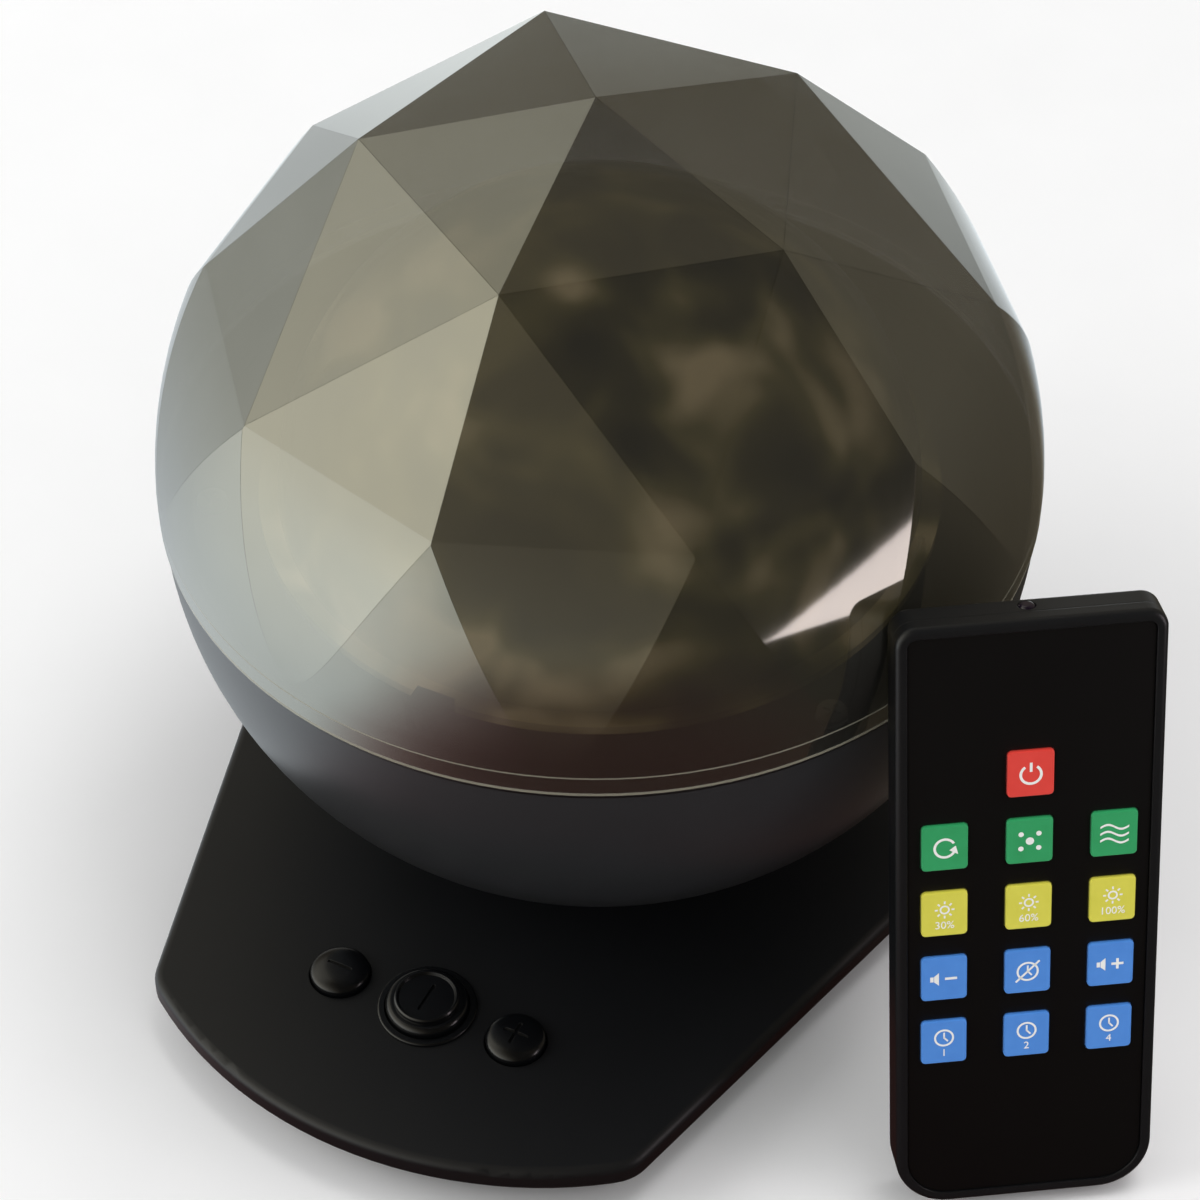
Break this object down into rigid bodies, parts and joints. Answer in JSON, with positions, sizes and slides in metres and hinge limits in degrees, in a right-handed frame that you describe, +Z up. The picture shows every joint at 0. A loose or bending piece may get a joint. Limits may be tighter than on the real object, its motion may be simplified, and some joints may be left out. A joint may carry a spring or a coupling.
{
  "type": "night light projector",
  "caption": "Ball-shaped night light projector: smoky faceted dome on a black bowl and flat base with press buttons, and a slim remote control leaning on the ball.",
  "frame": {"origin": "on the ball's upright axis, on the surface that the rubber feet stand on", "axes": "+Z up, -Y towards the buttons at the front, +X to the right seen from the front"},
  "size_m": [0.1785, 0.1588, 0.145],
  "materials": {
    "smoky_plastic": "smoky, half mirrored, faceted",
    "black_satin": "black satin moulded plastic",
    "black_matte": "black fine matte moulded plastic",
    "black_gloss": "black glossy moulded plastic",
    "clear_plastic": "clear rippled plastic",
    "rubber_black": "matte",
    "zinc_steel": "zinc plated",
    "board_green": "solder mask",
    "aluminium_plain": "milled",
    "light_chip": "phosphor",
    "chip_black": "moulded chip",
    "capacitor_can": "sleeved can",
    "motor_can": "plated can",
    "speaker_paper": "pulp cone",
    "magnet_grey": "coated",
    "contact_brass": "sprung strip",
    "key_red": "red silicone with a white sign",
    "key_green": "green silicone with a white sign",
    "key_yellow": "yellow silicone with a white sign",
    "key_blue": "blue silicone with a white sign"
  },
  "bodies": {
    "projector": {"bowl": "black_satin", "lamp_deck": "black_matte", "deck_screws": "zinc_steel", "lens_dome": "clear_plastic", "motor": "motor_can", "motor_screws": "zinc_steel", "heat_spreader": "aluminium_plain", "light_board": "board_green", "light_chips": "light_chip", "collimators": "clear_plastic", "infrared_receiver": "chip_black", "base_top_cover": "black_matte", "base_bottom_cover": "black_matte", "base_screws": "zinc_steel", "bowl_screws": "zinc_steel", "foot_strip": "rubber_black", "front_feet": "rubber_black", "power_collar": "black_gloss", "button_board": "board_green", "tact_switches": "chip_black", "board_screws": "zinc_steel", "main_board": "board_green", "controller_chip": "chip_black", "capacitors": "capacitor_can", "power_inlet": "chip_black", "audio_socket": "chip_black", "speaker_frame": "zinc_steel", "speaker_cone": "speaker_paper", "speaker_magnet": "magnet_grey"},
    "dome": {"dome_cover": "smoky_plastic"},
    "disc": {"ripple_disc": "clear_plastic", "motor_shaft": "zinc_steel"},
    "remote": {"remote_back_case": "black_satin", "remote_front_case": "black_satin", "remote_face": "black_gloss", "remote_board": "board_green", "contact_domes": "zinc_steel", "remote_lamp": "smoky_plastic", "coin_cell": "zinc_steel", "contact_strips": "contact_brass", "battery_door": "black_satin", "battery_screw": "zinc_steel"},
    "minus_button": {"minus_button": "black_gloss"},
    "power_button": {"power_button": "black_gloss"},
    "plus_button": {"plus_button": "black_gloss"},
    "key_one_hour": {"key_one_hour": "key_blue"},
    "key_two_hours": {"key_two_hours": "key_blue"},
    "key_four_hours": {"key_four_hours": "key_blue"},
    "key_volume_down": {"key_volume_down": "key_blue"},
    "key_timer_off": {"key_timer_off": "key_blue"},
    "key_volume_up": {"key_volume_up": "key_blue"},
    "key_light_low": {"key_light_low": "key_yellow"},
    "key_light_medium": {"key_light_medium": "key_yellow"},
    "key_light_full": {"key_light_full": "key_yellow"},
    "key_rotate": {"key_rotate": "key_green"},
    "key_pattern": {"key_pattern": "key_green"},
    "key_aurora": {"key_aurora": "key_green"},
    "key_power": {"key_power": "key_red"}
  },
  "joints": [
    {"name": "dome_turn", "type": "hinge", "parent": "projector", "child": "dome", "pos_m": [0, 0, 0.078], "axis": [0, 0, 1], "range_deg": [0, 12]},
    {"name": "disc_spin", "type": "hinge", "parent": "projector", "child": "disc", "pos_m": [0, 0, 0.048], "axis": [0, 0, 1], "continuous": true},
    {"name": "remote_pick_up", "type": "slide", "parent": "projector", "child": "remote", "axis": [0.504, -0.8065, 0.309], "range_m": [0, 0.08]},
    {"name": "minus_button_press", "type": "slide", "parent": "projector", "child": "minus_button", "axis": [0, 0, -1], "range_m": [0, 0.001], "stiffness_N_per_m": 400, "springref_m": -0.0008},
    {"name": "power_button_press", "type": "slide", "parent": "projector", "child": "power_button", "axis": [0, 0, -1], "range_m": [0, 0.001], "stiffness_N_per_m": 400, "springref_m": -0.0008},
    {"name": "plus_button_press", "type": "slide", "parent": "projector", "child": "plus_button", "axis": [0, 0, -1], "range_m": [0, 0.001], "stiffness_N_per_m": 400, "springref_m": -0.0008},
    {"name": "key_one_hour_press", "type": "slide", "parent": "remote", "child": "key_one_hour", "axis": [-0.504, 0.8065, -0.309], "range_m": [0, 0.00045], "stiffness_N_per_m": 800, "springref_m": -0.0004},
    {"name": "key_two_hours_press", "type": "slide", "parent": "remote", "child": "key_two_hours", "axis": [-0.504, 0.8065, -0.309], "range_m": [0, 0.00045], "stiffness_N_per_m": 800, "springref_m": -0.0004},
    {"name": "key_four_hours_press", "type": "slide", "parent": "remote", "child": "key_four_hours", "axis": [-0.504, 0.8065, -0.309], "range_m": [0, 0.00045], "stiffness_N_per_m": 800, "springref_m": -0.0004},
    {"name": "key_volume_down_press", "type": "slide", "parent": "remote", "child": "key_volume_down", "axis": [-0.504, 0.8065, -0.309], "range_m": [0, 0.00045], "stiffness_N_per_m": 800, "springref_m": -0.0004},
    {"name": "key_timer_off_press", "type": "slide", "parent": "remote", "child": "key_timer_off", "axis": [-0.504, 0.8065, -0.309], "range_m": [0, 0.00045], "stiffness_N_per_m": 800, "springref_m": -0.0004},
    {"name": "key_volume_up_press", "type": "slide", "parent": "remote", "child": "key_volume_up", "axis": [-0.504, 0.8065, -0.309], "range_m": [0, 0.00045], "stiffness_N_per_m": 800, "springref_m": -0.0004},
    {"name": "key_light_low_press", "type": "slide", "parent": "remote", "child": "key_light_low", "axis": [-0.504, 0.8065, -0.309], "range_m": [0, 0.00045], "stiffness_N_per_m": 800, "springref_m": -0.0004},
    {"name": "key_light_medium_press", "type": "slide", "parent": "remote", "child": "key_light_medium", "axis": [-0.504, 0.8065, -0.309], "range_m": [0, 0.00045], "stiffness_N_per_m": 800, "springref_m": -0.0004},
    {"name": "key_light_full_press", "type": "slide", "parent": "remote", "child": "key_light_full", "axis": [-0.504, 0.8065, -0.309], "range_m": [0, 0.00045], "stiffness_N_per_m": 800, "springref_m": -0.0004},
    {"name": "key_rotate_press", "type": "slide", "parent": "remote", "child": "key_rotate", "axis": [-0.504, 0.8065, -0.309], "range_m": [0, 0.00045], "stiffness_N_per_m": 800, "springref_m": -0.0004},
    {"name": "key_pattern_press", "type": "slide", "parent": "remote", "child": "key_pattern", "axis": [-0.504, 0.8065, -0.309], "range_m": [0, 0.00045], "stiffness_N_per_m": 800, "springref_m": -0.0004},
    {"name": "key_aurora_press", "type": "slide", "parent": "remote", "child": "key_aurora", "axis": [-0.504, 0.8065, -0.309], "range_m": [0, 0.00045], "stiffness_N_per_m": 800, "springref_m": -0.0004},
    {"name": "key_power_press", "type": "slide", "parent": "remote", "child": "key_power", "axis": [-0.504, 0.8065, -0.309], "range_m": [0, 0.00045], "stiffness_N_per_m": 800, "springref_m": -0.0004}
  ]
}
